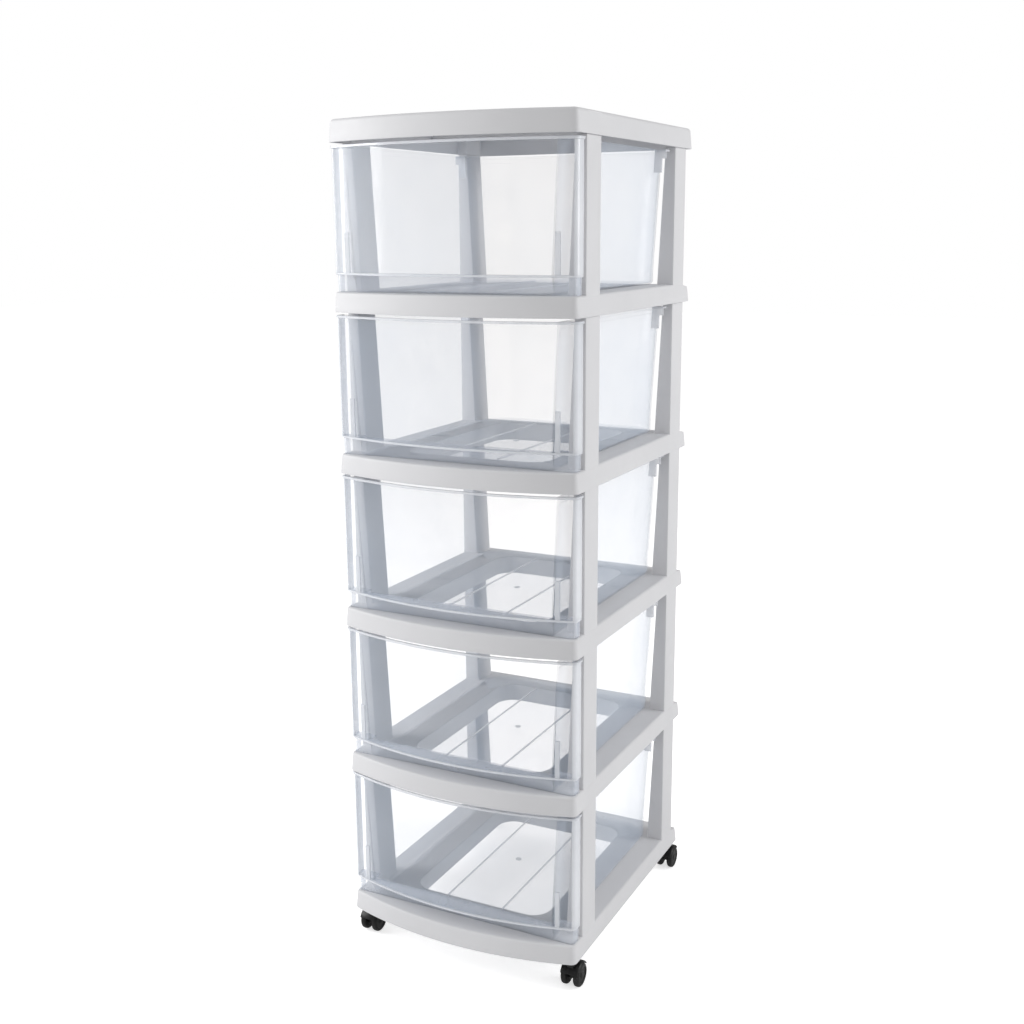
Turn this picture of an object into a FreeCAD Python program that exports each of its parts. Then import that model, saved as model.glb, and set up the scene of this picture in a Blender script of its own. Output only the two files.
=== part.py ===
import FreeCAD, Part
import math
import os
import re
import Sketcher

# Plastic drawer tower: five stacked tier frames, a top cover, five clear drawers and four casters.
# The front faces -Y, +Z is up and the floor is Z = 0. Lengths are millimetres.

TIERS = 5

SIZES = {
    # Plan of the plates, measured at the lower edge of their skirts
    "overall_width": 320,
    "body_depth": 396,
    "front_bow": 26,
    "front_corner_radius": 9,
    "rear_corner_radius": 8,
    # Plate of a tier frame
    "tier_pitch": 195.5,
    "plate_height": 24,
    "skirt_flare": 2.4,
    "plate_edge_radius": 3,
    "skirt_wall": 2.4,
    "deck_wall": 2.8,
    "rear_slope_drop": 6.5,
    # Opening in the deck
    "opening_side_margin": 65,
    "opening_front_margin": 44.5,
    "opening_rear_margin": 55,
    "opening_radius": 25,
    "opening_wall": 2.2,
    # Hollow tapered posts
    "front_post_setback": 27,
    "rear_post_setback": 21,
    "post_depth": 40,
    "post_foot_width": 23.5,
    "post_top_width": 14,
    "post_edge_radius": 1.5,
    "post_wall": 2.2,
    "tenon_height": 14,
    "tenon_clearance": 0.3,
    # Stiffening ribs under the plates
    "rib_wall": 1.8,
    "rib_clearance": 3,
    "side_rib_spacing": 56,
    "end_rib_offset": 55,
    # Top cover
    "cover_height": 26,
    "cover_edge_radius": 5,
    "edge_share": 0.95,
    "cover_rib_depth": 9,
    "cover_rib_offset": 62,
    # Drawer tub
    "drawer_top_gap": 3.5,
    "tub_side_gap": 4.1,
    "rim_side_gap": 2.6,
    "tub_front_setback": 3.5,
    "tub_rear_inset": 21.5,
    "tub_rear_lean": 5,
    "tub_wall": 2,
    "tub_corner_radius": 42,
    "tub_bottom_radius": 5,
    "rim_reach": 3.5,
    "rim_wall": 2.4,
    "rim_step_reach": 1.6,
    "rim_step_height": 8,
    # Stop lug under the rear end of each side rim
    "stop_reach": 13.5,
    "stop_height": 11,
    "stop_step_reach": 8.5,
    "stop_step_height": 28,
    "stop_length": 14,
    "stop_post_gap": 4.5,
    # Ribs on the tub's floor
    "floor_rib_offset": 40,
    "floor_rib_width": 1.6,
    "floor_rib_height": 0.8,
    "floor_rib_margin": 34,
    # Drawer front
    "panel_side_setback": 2,
    "panel_setback": 4,
    "panel_post_gap": 9,
    "panel_wall": 2.2,
    "panel_corner_radius": 6,
    "ledge_height": 20,
    "strip_side_setback": 4,
    "lip_height": 3,
    "lip_reach": 1.6,
    "wing_rib_offset": 22,
    "wing_rib_width": 5.5,
    "wing_rib_depth": 1.5,
    "wing_rib_height": 69,
    # Casters
    "caster_height": 42,
    "caster_side_inset": 13,
    "caster_front_inset": 17.5,
    "caster_rear_inset": 15,
    "caster_trail": 7,
    "boss_radius": 7.6,
    "boss_recess": 2,
    "stem_radius": 4,
    "stem_clearance": 0.3,
    "socket_roof": 2.2,
    "stem_hood_depth": 9,
    "stem_tip_chamfer": 1.2,
    "stem_end_gap": 0.6,
    "stem_groove_depth": 0.5,
    "stem_groove_width": 1.6,
    "stem_groove_drop": 4,
    "hood_web": 7.4,
    "hood_neck_radius": 6.6,
    "neck_clearance": 0.5,
    "hood_hub_radius": 6.5,
    "web_reach_share": 0.75,
    "web_rise_share": 0.5,
    "fender_side_inset": 0.6,
    "fender_gap": 0.8,
    "fender_wall": 1.8,
    "fender_front_angle": 158,
    "fender_rear_angle": 34,
    "axle_radius": 1.75,
    "axle_clearance": 0.3,
    "axle_cap": 0.9,
    "wheel_radius": 15,
    "wheel_width": 8.2,
    "wheel_gap": 0.5,
    "wheel_edge_radius": 3,
    "wheel_rim_width": 1.5,
    "wheel_dish_depth": 1,
    "wheel_hub_radius": 4,
    # How far a cut runs past the face that it opens
    "overrun": 5,
}

# Places and sizes that follow from the table above
RULES = {
    "half_width": "overall_width / 2",
    "wheel_reach": "wheel_radius + caster_trail - caster_rear_inset",
    "rear_edge": "(body_depth - wheel_reach) / 2",
    "front_middle": "rear_edge - body_depth",
    "front_corner": "front_middle + front_bow",
    "bow_radius": "(half_width^2 + front_bow^2) / (2 * front_bow)",
    "deck_half_width": "half_width - skirt_flare",
    "opening_half": "half_width - opening_side_margin",
    "opening_front": "front_corner + opening_front_margin",
    "opening_rear": "rear_edge - opening_rear_margin",
    "plate_cavity": "plate_height - deck_wall",
    "slope_start": "rear_edge - rear_post_setback + post_edge_radius",
    "rear_cavity": "plate_height - rear_slope_drop - deck_wall",
    "cover_cavity": "cover_height - deck_wall",
    "front_post_front": "front_corner + front_post_setback",
    "rear_post_front": "rear_edge - rear_post_setback - post_depth",
    "tub_front": "front_corner + tub_front_setback",
    "tub_rear_top": "rear_edge - tub_rear_inset",
    "tub_rear_bottom": "tub_rear_top - tub_rear_lean",
    "drawer_height": "tier_pitch - plate_height - drawer_top_gap",
    "tub_half": "deck_half_width - post_foot_width - tub_side_gap",
    "tub_top_half": "deck_half_width - post_top_width - rim_reach - rim_side_gap",
    "stop_rear": "rear_post_front - stop_post_gap",
    "stop_front": "stop_rear - stop_length",
    "panel_half": "half_width - panel_side_setback",
    "strip_half": "half_width - strip_side_setback",
    "panel_middle": "front_middle + panel_setback",
    "panel_bow_radius": "bow_radius - panel_setback",
    "panel_back": "front_post_front - panel_post_gap",
    "wing_rib_place": "panel_half - wing_rib_offset",
    "stem_side": "half_width - caster_side_inset",
    "stem_front": "front_corner + caster_front_inset",
    "stem_rear": "rear_edge - caster_rear_inset",
    "hood_top": "caster_height + boss_recess",
    "bore_radius": "stem_radius + stem_clearance",
    "stem_socket_depth": "plate_cavity - socket_roof - boss_recess",
    "stem_bottom": "hood_top - stem_hood_depth",
    "stem_top": "hood_top + stem_socket_depth - stem_end_gap",
    "wheel_inner": "hood_web / 2 + wheel_gap",
    "wheel_outer": "wheel_inner + wheel_width",
    "wheel_bore": "axle_radius + axle_clearance",
    "wheel_dish_level": "wheel_radius - wheel_edge_radius - wheel_rim_width",
    "axle_half": "wheel_outer - axle_cap - wheel_gap",
    "fender_half": "wheel_outer - fender_side_inset",
    "cover_edge": "min(cover_edge_radius; edge_share * (rear_corner_radius - skirt_flare * cover_height"
                  " / plate_height))",
}

doc = FreeCAD.newDocument("drawer_tower")
sheet = doc.addObject("Spreadsheet::Sheet", "sizes")
for row, (alias, size) in enumerate(SIZES.items(), start=1):
    sheet.set(f"A{row}", alias)
    sheet.set(f"B{row}", str(size))
    sheet.setAlias(f"B{row}", alias)
doc.recompute()


def bound(rule):
    """Expression over the sheet's cells for a rule written in the names of SIZES and RULES."""
    def expand(match):
        name = match.group(0)
        if name in RULES:
            return "(" + bound(RULES[name]) + ")"
        return "sizes." + name if name in SIZES else name
    return re.sub(r"[a-z]\w*", expand, rule)


def number(rule):
    """Present value of a rule, in millimetres or degrees."""
    value = sheet.evalExpression(bound(rule))
    return float(getattr(value, "Value", value))


# Sketch helpers


def new_body(name, base=None):
    """Empty body or, over a base, one that repeats the base's moulding in another place."""
    body = doc.addObject("PartDesign::Body", name)
    body.Label = name
    if base:
        body.BaseFeature = base
    return body


def stand(body, x, y, z):
    """Place a body by rules for its X, Y and Z and hand it back."""
    for axis, rule in zip("xyz", (x, y, z)):
        body.setExpression(f"Placement.Base.{axis}", bound(rule))
    return body


def origin_plane(body, role):
    return next(item for item in body.Origin.OriginFeatures if item.Role == role)


def new_sketch(body, level="0", role="XY_Plane"):
    """Sketch on one of the body's own origin planes, moved along its normal by a rule."""
    sketch = body.newObject("Sketcher::SketchObject", "outline")
    sketch.AttachmentSupport = [(origin_plane(body, role), "")]
    sketch.MapMode = "FlatFace"
    sketch.setExpression("AttachmentOffset.Base.z", bound(level))
    return sketch


def constrain(sketch, kind, *where):
    return sketch.addConstraint(Sketcher.Constraint(kind, *where))


def locate(sketch, axis, edge, end, rule):
    """Hold a point of an edge at a coordinate that the rule gives."""
    value = number(rule)
    if value < 0:
        index = constrain(sketch, "Distance" + axis, edge, end, -1, 1, -value)
        sketch.setExpression(f"Constraints[{index}]", f"-({bound(rule)})")
    elif value > 0:
        index = constrain(sketch, "Distance" + axis, -1, 1, edge, end, value)
        sketch.setExpression(f"Constraints[{index}]", bound(rule))
    else:
        constrain(sketch, "PointOnObject", edge, end, -2 if axis == "X" else -1)


def set_radius(sketch, edge, rule):
    index = constrain(sketch, "Radius", edge, number(rule))
    sketch.setExpression(f"Constraints[{index}]", bound(rule))


def arc(x, y, radius, start, end):
    circle = Part.Circle(FreeCAD.Vector(x, y, 0), FreeCAD.Vector(0, 0, 1), radius)
    return Part.ArcOfCircle(circle, start, end)


def line(x0, y0, x1, y1):
    return Part.LineSegment(FreeCAD.Vector(x0, y0, 0), FreeCAD.Vector(x1, y1, 0))


def join_tangent(sketch, first, count):
    """Close a ring of edges whose neighbours are tangent where they meet."""
    for step in range(count):
        constrain(sketch, "Tangent", first + step, 2, first + (step + 1) % count, 1)


def rounded_rectangle(sketch, left, right, front, rear, front_radius, rear_radius):
    """Rectangle with tangent corner arcs, one radius for the front pair and one for the rear pair."""
    x0, x1, y0, y1 = number(left), number(right), number(front), number(rear)
    a, b = number(front_radius), number(rear_radius)
    quarter = math.pi / 2
    first = sketch.GeometryCount
    sketch.addGeometry([
        line(x0 + a, y0, x1 - a, y0),
        arc(x1 - a, y0 + a, a, -quarter, 0),
        line(x1, y0 + a, x1, y1 - b),
        arc(x1 - b, y1 - b, b, 0, quarter),
        line(x1 - b, y1, x0 + b, y1),
        arc(x0 + b, y1 - b, b, quarter, 2 * quarter),
        line(x0, y1 - b, x0, y0 + a),
        arc(x0 + a, y0 + a, a, 2 * quarter, 3 * quarter),
    ], False)
    join_tangent(sketch, first, 8)
    for edge in (first, first + 4):
        constrain(sketch, "Horizontal", edge)
    for edge in (first + 2, first + 6):
        constrain(sketch, "Vertical", edge)
    for edge, radius in ((1, front_radius), (7, front_radius), (3, rear_radius), (5, rear_radius)):
        set_radius(sketch, first + edge, radius)
    locate(sketch, "Y", first, 1, front)
    locate(sketch, "X", first + 2, 1, right)
    locate(sketch, "Y", first + 4, 1, rear)
    locate(sketch, "X", first + 6, 1, left)


def tray_outline(sketch, half, front, rear, corner_radius):
    """Symmetric plan with square front corners and rounded rear corners."""
    w, y0, y1 = number(half), number(front), number(rear)
    b = number(corner_radius)
    first = sketch.GeometryCount
    sketch.addGeometry([
        line(-w, y0, w, y0),
        line(w, y0, w, y1 - b),
        arc(w - b, y1 - b, b, 0, math.pi / 2),
        line(w - b, y1, b - w, y1),
        arc(b - w, y1 - b, b, math.pi / 2, math.pi),
        line(-w, y1 - b, -w, y0),
    ], False)
    for step in (1, 2, 3, 4):
        constrain(sketch, "Tangent", first + step, 2, first + step + 1, 1)
    constrain(sketch, "Coincident", first + 5, 2, first, 1)
    constrain(sketch, "Coincident", first, 2, first + 1, 1)
    for edge in (first, first + 3):
        constrain(sketch, "Horizontal", edge)
    for edge in (first + 1, first + 5):
        constrain(sketch, "Vertical", edge)
    for edge in (first + 2, first + 4):
        set_radius(sketch, edge, corner_radius)
    locate(sketch, "Y", first, 1, front)
    locate(sketch, "X", first + 1, 1, half)
    locate(sketch, "Y", first + 3, 1, rear)
    locate(sketch, "X", first + 5, 1, f"-({half})")


def bowed_outline(sketch, half, middle, bow_radius, rear, front_radius, rear_radius):
    """Plan with straight sides and rear and a front that bows forward along one large arc."""
    w, top, big = number(half), number(rear), number(bow_radius)
    centre = number(middle) + big
    a, b = number(front_radius), number(rear_radius)
    corner_x = w - a
    corner_y = centre - math.sqrt((big - a) ** 2 - corner_x ** 2)
    turn = math.atan2(corner_y - centre, corner_x)
    first = sketch.GeometryCount
    sketch.addGeometry([
        arc(0, centre, big, -math.pi - turn, turn),
        arc(corner_x, corner_y, a, turn, 0),
        line(w, corner_y, w, top - b),
        arc(w - b, top - b, b, 0, math.pi / 2),
        line(w - b, top, b - w, top),
        arc(b - w, top - b, b, math.pi / 2, math.pi),
        line(-w, top - b, -w, corner_y),
        arc(-corner_x, corner_y, a, math.pi, -math.pi - turn),
    ], False)
    join_tangent(sketch, first, 8)
    constrain(sketch, "Vertical", first + 2)
    constrain(sketch, "Vertical", first + 6)
    constrain(sketch, "Horizontal", first + 4)
    set_radius(sketch, first, bow_radius)
    for edge, radius in ((1, front_radius), (7, front_radius), (3, rear_radius), (5, rear_radius)):
        set_radius(sketch, first + edge, radius)
    constrain(sketch, "PointOnObject", first, 3, -2)
    locate(sketch, "Y", first, 3, f"{middle} + {bow_radius}")
    locate(sketch, "X", first + 2, 1, half)
    locate(sketch, "X", first + 6, 1, f"-({half})")
    locate(sketch, "Y", first + 4, 1, rear)


def wing_outline(sketch, inner, outer, middle, bow_radius, rear, corner_radius):
    """Right end of the bowed front: the bow, its corner arc and three straight sides."""
    x0, x1, top, big = number(inner), number(outer), number(rear), number(bow_radius)
    centre = number(middle) + big
    a = number(corner_radius)
    corner_x = x1 - a
    corner_y = centre - math.sqrt((big - a) ** 2 - corner_x ** 2)
    turn = math.atan2(corner_y - centre, corner_x)
    start = -math.acos(x0 / big)
    front = centre + big * math.sin(start)
    first = sketch.GeometryCount
    sketch.addGeometry([
        arc(0, centre, big, start, turn),
        arc(corner_x, corner_y, a, turn, 0),
        line(x1, corner_y, x1, top),
        line(x1, top, x0, top),
        line(x0, top, x0, front),
    ], False)
    constrain(sketch, "Tangent", first, 2, first + 1, 1)
    constrain(sketch, "Tangent", first + 1, 2, first + 2, 1)
    for step in (2, 3, 4):
        constrain(sketch, "Coincident", first + step, 2, first + (step + 1) % 5, 1)
    constrain(sketch, "Vertical", first + 2)
    constrain(sketch, "Horizontal", first + 3)
    constrain(sketch, "Vertical", first + 4)
    set_radius(sketch, first, bow_radius)
    set_radius(sketch, first + 1, corner_radius)
    constrain(sketch, "PointOnObject", first, 3, -2)
    locate(sketch, "Y", first, 3, f"{middle} + {bow_radius}")
    locate(sketch, "X", first + 2, 1, outer)
    locate(sketch, "Y", first + 3, 1, rear)
    locate(sketch, "X", first + 4, 1, inner)


def polygon(sketch, corners):
    """Closed outline of straight edges through corners given as pairs of rules."""
    points = [(number(x), number(y)) for x, y in corners]
    first = sketch.GeometryCount
    count = len(points)
    sketch.addGeometry([line(*points[i], *points[(i + 1) % count]) for i in range(count)], False)
    for step, (x, y) in enumerate(corners):
        constrain(sketch, "Coincident", first + step, 2, first + (step + 1) % count, 1)
        locate(sketch, "X", first + step, 1, x)
        locate(sketch, "Y", first + step, 1, y)


def circle(sketch, x, y, radius):
    """Full circle about a place given by two rules."""
    first = sketch.GeometryCount
    centre = FreeCAD.Vector(number(x), number(y), 0)
    sketch.addGeometry(Part.Circle(centre, FreeCAD.Vector(0, 0, 1), number(radius)), False)
    set_radius(sketch, first, radius)
    locate(sketch, "X", first, 3, x)
    locate(sketch, "Y", first, 3, y)


# Feature helpers


def extrude(body, kind, sketch, length, taper=None, reverse=False, both_sides=False):
    """Pad or pocket of a sketch by a rule, with an optional draft in degrees."""
    feature = body.newObject("PartDesign::" + kind, kind.lower())
    feature.Profile = sketch
    feature.setExpression("Length", bound(length))
    feature.Reversed = reverse
    if both_sides:
        feature.SideType = "Symmetric"
    if taper:
        feature.setExpression("TaperAngle", bound(taper))
    return feature


def loft(body, kind, sections):
    """Ruled additive or subtractive loft through sketches."""
    feature = body.newObject("PartDesign::" + kind, kind.lower())
    feature.Profile = sections[0]
    feature.Sections = [(section, [""]) for section in sections[1:]]
    feature.Ruled = True
    return feature


def revolve(body, kind, sketch, axis):
    """Full turn of a sketch about an axis of the body or of the sketch."""
    feature = body.newObject("PartDesign::" + kind, kind.lower())
    feature.Profile = sketch
    feature.ReferenceAxis = axis
    feature.Angle = 360
    return feature


def round_edges(body, radius, chosen):
    """Fillet the edges of the body's present tip that the test picks."""
    doc.recompute()
    base = body.Tip
    names = [f"Edge{i}" for i, edge in enumerate(base.Shape.Edges, start=1) if chosen(edge)]
    feature = body.newObject("PartDesign::Fillet", "round")
    feature.Base = (base, names)
    feature.setExpression("Radius", bound(radius))
    return feature


def mirror(body, originals):
    """Repeat features on the other side of the middle plane."""
    feature = body.newObject("PartDesign::Mirrored", "mirrored")
    feature.Originals = originals
    feature.MirrorPlane = (origin_plane(body, "YZ_Plane"), [""])
    body.Tip = feature
    return feature


def lies_at_height(edge, height):
    box = edge.BoundBox
    flatness = 1e-4 * number("plate_height")
    return abs(box.ZMin - height) < flatness and abs(box.ZMax - height) < flatness


# Tier frames and top cover

POST_FRONTS = ["front_post_front", "rear_post_front"]


def plate(body, height, edge_radius):
    """Drafted plate with a bowed front and a rounded upper edge."""
    sketch = new_sketch(body)
    bowed_outline(sketch, "half_width", "front_middle", "bow_radius", "rear_edge",
                  "front_corner_radius", "rear_corner_radius")
    extrude(body, "Pad", sketch, height, taper="-atan(skirt_flare / plate_height)")
    top = number(height)
    round_edges(body, edge_radius, lambda edge: lies_at_height(edge, top))


def skirt_cavity(body, depth, rear="rear_edge - skirt_wall", island=True):
    """Hollow of the plate from below, which leaves the skirt, the deck and the wall of the opening."""
    sketch = new_sketch(body)
    bowed_outline(sketch, "half_width - skirt_wall", "front_middle + skirt_wall",
                  "bow_radius - skirt_wall", rear,
                  "front_corner_radius - skirt_wall", "rear_corner_radius - skirt_wall")
    if island:
        rounded_rectangle(sketch, "-(opening_half + opening_wall)", "opening_half + opening_wall",
                          "opening_front - opening_wall", "opening_rear + opening_wall",
                          "opening_radius + opening_wall", "opening_radius + opening_wall")
    extrude(body, "Pocket", sketch, depth, taper="-atan(skirt_flare / plate_height)", reverse=True)


def bow_line(middle, bow_radius, inset, x):
    """Rule for the Y of a bowed face, moved back by an inset, at a given X."""
    return f"({middle} + {bow_radius} - sqrt(({bow_radius} - ({inset}))^2 - ({x})^2))"


def bar(sketch, left, right, front, rear):
    polygon(sketch, [(left, front), (right, front), (right, rear), (left, rear)])


def post_profile(body, front, inset="0"):
    """Front view of a right-hand post, wide at the foot, or of its hollow where an inset is given."""
    sketch = new_sketch(body, f"-({front} + {inset})", role="XZ_Plane")
    outer = f"deck_half_width - {inset}"
    polygon(sketch, [(f"deck_half_width - post_foot_width + {inset}", "0"), (outer, "0"),
                     (outer, f"tier_pitch - {inset}"),
                     (f"deck_half_width - post_top_width + {inset}", f"tier_pitch - {inset}")])
    return sketch


def post_blocks(body, level, inset):
    """Plan of the upper ends of the two right-hand posts, reduced by an inset all round."""
    sketch = new_sketch(body, level)
    for front in POST_FRONTS:
        bar(sketch, f"deck_half_width - post_top_width + {inset}", f"deck_half_width - {inset}",
            f"{front} + {inset}", f"{front} + post_depth - {inset}")
    return sketch


def add_posts(body):
    """Four hollow posts, wide at the foot, each with a tenon for the plate above."""
    shafts = [extrude(body, "Pad", post_profile(body, front), "post_depth", reverse=True)
              for front in POST_FRONTS]
    tenons = post_blocks(body, "tier_pitch", "(post_wall + tenon_clearance)")
    mirror(body, shafts + [extrude(body, "Pad", tenons, "tenon_height")])
    long_edge = number("tier_pitch - plate_height - post_wall")
    top = number("tier_pitch")
    round_edges(body, "post_edge_radius", lambda edge: (
        edge.Length > long_edge and edge.BoundBox.ZMax > top - number("post_wall")
        and edge.BoundBox.ZLength > long_edge))
    hollows = [extrude(body, "Pocket", post_profile(body, front, "post_wall"),
                       "post_depth - 2 * post_wall") for front in POST_FRONTS]
    mirror(body, hollows)
    sketch = new_sketch(body)
    stop = "deck_half_width - post_top_width + post_wall"
    for front in POST_FRONTS:
        bar(sketch, f"{stop} - post_wall", stop, f"{front} + post_wall / 2",
            f"{front} + post_depth - post_wall / 2")
    mirror(body, [extrude(body, "Pad", sketch, "tenon_height")])


def add_collars(body):
    """Closed sockets under the cover that take the tenons of the posts below."""
    rims = extrude(body, "Pad", post_blocks(body, "0", "0"), "cover_cavity + deck_wall / 2")
    mirror(body, [rims])
    sockets = extrude(body, "Pocket", post_blocks(body, "0", "post_wall"),
                      "tenon_height + tenon_clearance", reverse=True)
    mirror(body, [sockets])


def add_plate_ribs(body):
    """Thin ribs between the skirt and the wall of the opening, set back from the lower edge."""
    sketch = new_sketch(body, "rib_clearance")
    half = "rib_wall / 2"
    inner = "opening_half + opening_wall / 2"
    outer = "deck_half_width"
    middle = "(rear_post_front + front_post_front + post_depth) / 2"
    for step in ("-side_rib_spacing", "0", "side_rib_spacing"):
        bar(sketch, inner, outer, f"{middle} + {step} - {half}", f"{middle} + {step} + {half}")
    bow = bow_line("front_middle", "bow_radius", "0", "end_rib_offset")
    bar(sketch, f"end_rib_offset - {half}", f"end_rib_offset + {half}",
        f"{bow} + skirt_flare", "opening_front - opening_wall / 2")
    bar(sketch, f"end_rib_offset - {half}", f"end_rib_offset + {half}",
        "opening_rear + opening_wall / 2", "slope_start - deck_wall")
    ribs = extrude(body, "Pad", sketch, "plate_cavity - rib_clearance + deck_wall / 2")
    low = new_sketch(body, "rib_clearance")
    bar(low, f"end_rib_offset - {half}", f"end_rib_offset + {half}",
        "slope_start - 2 * deck_wall", "rear_edge - skirt_flare")
    low_ribs = extrude(body, "Pad", low, "rear_cavity - rib_clearance + deck_wall / 2")
    mirror(body, [ribs, low_ribs])


def add_cover_ribs(body):
    """Shallow ribs across and along the underside of the cover."""
    sketch = new_sketch(body, "cover_cavity - cover_rib_depth")
    half = "rib_wall / 2"
    side = "deck_half_width - skirt_wall"
    for place in ("-cover_rib_offset", "cover_rib_offset"):
        bar(sketch, f"-({side})", side, f"{place} - {half}", f"{place} + {half}")
    extrude(body, "Pad", sketch, "cover_rib_depth + deck_wall / 2")


def slope_rear_edge(body):
    """Slope on top of the plate from behind the rear posts down to the rear lip."""
    sketch = new_sketch(body, role="YZ_Plane")
    polygon(sketch, [("slope_start", "plate_height"),
                     ("rear_edge - skirt_flare", "plate_height - rear_slope_drop"),
                     ("rear_edge + overrun", "plate_height - rear_slope_drop"),
                     ("rear_edge + overrun", "plate_height + overrun"),
                     ("slope_start", "plate_height + overrun")])
    extrude(body, "Pocket", sketch, "overall_width + overrun", both_sides=True)


def add_caster_bosses(body):
    """Bosses under the deck of the base, bored for the stems, with room below for the hoods' necks."""
    places = [(side + "stem_side", end) for side in ("", "-") for end in ("stem_front", "stem_rear")]
    bosses = new_sketch(body, "boss_recess")
    bores = new_sketch(body, "boss_recess")
    seats = new_sketch(body)
    for x, y in places:
        circle(bosses, x, y, "boss_radius")
        circle(bores, x, y, "bore_radius")
        circle(seats, x, y, "hood_neck_radius + neck_clearance")
    extrude(body, "Pad", bosses, "plate_cavity - boss_recess + deck_wall / 2")
    extrude(body, "Pocket", bores, "stem_socket_depth", reverse=True)
    extrude(body, "Pocket", seats, "boss_recess", reverse=True)


def tier_frame(name, on_casters=False):
    """One moulding: a bowed ring-shaped plate with four hollow posts; the base takes the casters."""
    body = new_body(name)
    plate(body, "plate_height", "plate_edge_radius")
    skirt_cavity(body, "rear_cavity")
    skirt_cavity(body, "plate_cavity", rear="slope_start - deck_wall")
    sketch = new_sketch(body)
    rounded_rectangle(sketch, "-opening_half", "opening_half", "opening_front", "opening_rear",
                      "opening_radius", "opening_radius")
    extrude(body, "Pocket", sketch, "plate_height + overrun", reverse=True)
    add_plate_ribs(body)
    add_posts(body)
    if on_casters:
        add_caster_bosses(body)
    slope_rear_edge(body)
    return body


def top_cover(name):
    """Closed lid with the same bowed plan, a deeper skirt and sockets for the upper tenons."""
    body = new_body(name)
    plate(body, "cover_height", "cover_edge")
    skirt_cavity(body, "cover_cavity", island=False)
    add_cover_ribs(body)
    add_collars(body)
    return body


# Drawers


def tub_side(level):
    """Rule for the half width of the drafted part of the tub at a level above the ledge."""
    return ("(tub_half + (tub_top_half - tub_half)"
            f" * ({level} - ledge_height) / (drawer_height - ledge_height))")


def tub_section(body, level, rear, inset="0"):
    """Plan of the tub at one level or, with an inset, of its inside."""
    sketch = new_sketch(body, level)
    tray_outline(sketch, f"{tub_side(level)} - {inset}", f"tub_front + {inset}",
                 f"{rear} - {inset}", f"tub_corner_radius - {inset}")
    return sketch


def tub(body, inset="0"):
    """Tub with an upright, rounded foot up to the ledge and drafted walls above it, or its inside."""
    foot = tub_section(body, "ledge_height", "tub_rear_bottom", inset)
    extrude(body, "Pad", foot, f"ledge_height - {inset}", reverse=True)
    floor, behind = number(inset), number("panel_back")
    round_edges(body, f"tub_bottom_radius - {inset}", lambda edge: (
        lies_at_height(edge, floor) and edge.CenterOfMass.y > behind))
    loft(body, "AdditiveLoft", [tub_section(body, "ledge_height", "tub_rear_bottom", inset),
                                tub_section(body, "drawer_height", "tub_rear_top", inset)])


def front_panel(body):
    """Bowed panel above a straight lower strip, with a lip along its upper edge."""
    panel = new_sketch(body, "ledge_height")
    bowed_outline(panel, "panel_half", "panel_middle", "panel_bow_radius", "panel_back",
                  "panel_corner_radius", "tub_wall")
    extrude(body, "Pad", panel, "drawer_height - ledge_height")
    lip = new_sketch(body, "drawer_height - lip_height")
    bowed_outline(lip, "panel_half + lip_reach", "panel_middle - lip_reach",
                  "panel_bow_radius + lip_reach", "panel_back",
                  "panel_corner_radius + lip_reach", "tub_wall")
    extrude(body, "Pad", lip, "lip_height")
    strip = new_sketch(body)
    rounded_rectangle(strip, "-strip_half", "strip_half", "tub_front", "panel_back",
                      "panel_corner_radius", "tub_wall")
    extrude(body, "Pad", strip, "ledge_height")


def side_rim(body):
    """Stepped rim that is folded outward around the sides and rear of the tub."""
    for reach, bottom, height in (("rim_reach", "drawer_height - rim_wall", "rim_wall"),
                                  ("rim_step_reach", "drawer_height - rim_step_height",
                                   "rim_step_height")):
        sketch = new_sketch(body, bottom)
        tray_outline(sketch, f"tub_top_half + {reach}", "tub_front",
                     f"tub_rear_top + {reach}", f"tub_corner_radius + {reach}")
        extrude(body, "Pad", sketch, height)


def stop_lugs(body):
    """Stepped fin under each side rim, which meets the front post when the drawer is fully out."""
    inner = "tub_wall / 2"
    low = "drawer_height - stop_step_height"
    step = "drawer_height - stop_height"
    sketch = new_sketch(body, "-stop_front", role="XZ_Plane")
    polygon(sketch, [(f"{tub_side(low)} - {inner}", low),
                     ("tub_top_half + stop_step_reach", low),
                     ("tub_top_half + stop_step_reach", step),
                     ("tub_top_half + stop_reach", step),
                     ("tub_top_half + stop_reach", "drawer_height"),
                     (f"tub_top_half - {inner}", "drawer_height")])
    fin = extrude(body, "Pad", sketch, "rim_wall", reverse=True)
    flange = new_sketch(body, "drawer_height - rim_wall")
    bar(flange, f"tub_top_half - {inner}", "tub_top_half + stop_reach", "stop_front", "stop_rear")
    mirror(body, [fin, extrude(body, "Pad", flange, "rim_wall")])


def wing_hollows(body):
    """Recesses behind the ends of the front, outside the tub, open to the rear."""
    upper = []
    for level in ("ledge_height + panel_wall", "drawer_height - lip_height"):
        sketch = new_sketch(body, level)
        wing_outline(sketch, tub_side(level), "panel_half - panel_wall",
                     "panel_middle + panel_wall", "panel_bow_radius - panel_wall",
                     "panel_back + overrun", "panel_corner_radius - panel_wall")
        upper.append(sketch)
    lower = new_sketch(body)
    rounded_rectangle(lower, tub_side("ledge_height"), "strip_half - panel_wall",
                      "tub_front + panel_wall", "panel_back + overrun",
                      "panel_corner_radius - panel_wall", "tub_wall")
    mirror(body, [loft(body, "SubtractiveLoft", upper),
                  extrude(body, "Pocket", lower, "ledge_height", reverse=True)])


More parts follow.
